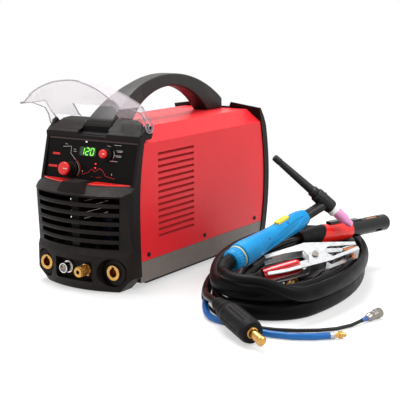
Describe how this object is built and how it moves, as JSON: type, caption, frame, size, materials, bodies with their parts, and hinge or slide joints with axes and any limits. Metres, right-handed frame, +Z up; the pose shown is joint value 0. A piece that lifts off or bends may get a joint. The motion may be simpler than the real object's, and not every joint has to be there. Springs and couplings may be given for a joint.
{
  "type": "tig welder",
  "caption": "Portable inverter TIG welding machine with carry handle, flip-up clear panel cover, weld sockets, fan, torch on a coiled hose, earth clamp and electrode holder.",
  "frame": {"origin": "centre of the machine's rubber foot frame, on the floor", "axes": "+Z up, the control panel looks towards -Y, +X is to the right of someone who faces the control panel"},
  "size_m": [0.5667, 0.5823, 0.3291],
  "materials": {
    "red_paint": "semi-gloss powder coat",
    "black_plastic": "fine spark-eroded moulding",
    "grey_rail": "satin dark grey paint",
    "rubber": "matt",
    "panel_film": "printed film",
    "red_plastic": "moulded, half gloss",
    "clear_plastic": "clear moulded polycarbonate",
    "display": "smoked window with green digits",
    "led_lens": "lit lens",
    "brass": "turned",
    "nickel": "nickel plated",
    "steel": "zinc plated",
    "dark_steel": "black zinc",
    "aluminium": "extruded",
    "circuit_board": "solder mask",
    "copper": "copper",
    "wound_copper": "enamelled winding",
    "sleeve_film": "shrink sleeve",
    "blue_plastic": "moulded, half matt",
    "yellow_plastic": "moulded",
    "white_ptfe": "waxy",
    "pink_ceramic": "sintered alumina",
    "blue_hose": "satin",
    "phenolic": "moulded black resin"
  },
  "bodies": {
    "machine": {"foot_frame": "rubber", "base_tray": "grey_rail", "case_cover": "red_paint", "front_bezel": "black_plastic", "rear_bezel": "black_plastic", "carry_handle": "black_plastic", "control_plate": "panel_film", "display_lens": "display", "trim_strip": "red_plastic", "panel_leds": "led_lens", "encoder_bodies": "steel", "socket_shells": "black_plastic", "socket_contacts": "brass", "gas_outlet": "brass", "control_socket": "nickel", "case_screws": "dark_steel", "fan_frame": "black_plastic", "heat_sinks": "aluminium", "power_board": "circuit_board", "transformer": "wound_copper", "capacitors": "sleeve_film", "control_board": "circuit_board", "gas_valve": "brass", "cable_gland": "black_plastic", "gas_inlet": "brass", "torch_shell_left": "blue_plastic", "torch_shell_right": "blue_plastic", "torch_collar": "blue_plastic", "torch_boot": "rubber", "torch_head": "phenolic", "nozzle_gasket": "white_ptfe", "gas_nozzle": "pink_ceramic", "collet_body": "copper", "torch_hose": "rubber", "power_lead": "rubber", "plug_sleeves": "rubber", "plug_pins": "brass", "gas_hose": "blue_hose", "gas_fitting": "brass", "control_wire": "rubber", "control_plug": "nickel", "clamp_lower_arm": "steel", "clamp_grip": "red_plastic", "clamp_pivot": "steel", "clamp_spring": "steel", "clamp_jaw_lower": "copper", "earth_cable": "rubber", "holder_grip": "red_plastic", "holder_head": "black_plastic", "holder_cable": "rubber"},
    "clear_cover": {"clear_cover": "clear_plastic"},
    "current_knob": {"current_knob": "red_plastic"},
    "mode_knob": {"mode_knob": "red_plastic"},
    "fan_rotor": {"fan_rotor": "black_plastic"},
    "rocker_switch": {"rocker_switch": "red_plastic"},
    "torch_trigger": {"torch_trigger": "yellow_plastic"},
    "back_cap": {"back_cap": "phenolic"},
    "clamp_upper": {"clamp_upper_arm": "steel", "clamp_jaw_upper": "copper"},
    "holder_lever": {"holder_lever": "black_plastic"}
  },
  "joints": [
    {"name": "cover_swing", "type": "hinge", "parent": "machine", "child": "clear_cover", "pos_m": [0, -0.168, 0.254], "axis": [1, 0, 0], "range_deg": [0, 90]},
    {"name": "current_turn", "type": "hinge", "parent": "machine", "child": "current_knob", "pos_m": [-0.035, -0.19898, 0.18318], "axis": [0, -0.9781, 0.2079], "range_deg": [-140, 140]},
    {"name": "mode_turn", "type": "hinge", "parent": "machine", "child": "mode_knob", "pos_m": [0.032, -0.19306, 0.21106], "axis": [0, -0.9781, 0.2079], "range_deg": [-75, 75]},
    {"name": "fan_spin", "type": "hinge", "parent": "machine", "child": "fan_rotor", "pos_m": [0, 0.1946, 0.131], "axis": [0, 1, 0], "continuous": true},
    {"name": "switch_tilt", "type": "hinge", "parent": "machine", "child": "rocker_switch", "pos_m": [0.05, 0.19206, 0.222], "axis": [1, 0, 0], "range_deg": [-14, 0]},
    {"name": "trigger_press", "type": "slide", "parent": "machine", "child": "torch_trigger", "axis": [0.0306, 0.2022, -0.9789], "range_m": [0, 0.002], "stiffness_N_per_m": 900, "springref_m": -0.001},
    {"name": "cap_twist", "type": "hinge", "parent": "machine", "child": "back_cap", "pos_m": [0.30111, 0.029, 0.12593], "axis": [0.536, 0.5231, -0.6626], "range_deg": [-180, 180]},
    {"name": "clamp_open", "type": "hinge", "parent": "machine", "child": "clamp_upper", "pos_m": [0.33851, -0.0838, 0.0628], "axis": [0.3501, -0.5391, 0.766], "range_deg": [0, 9], "stiffness_Nm_per_rad": 3, "springref_deg": -20.05},
    {"name": "lever_press", "type": "hinge", "parent": "machine", "child": "holder_lever", "pos_m": [0.31534, 0.10856, 0.07763], "axis": [-0.9487, 0.3161, 0], "range_deg": [-6, 0], "stiffness_Nm_per_rad": 3, "springref_deg": 14.32}
  ]
}
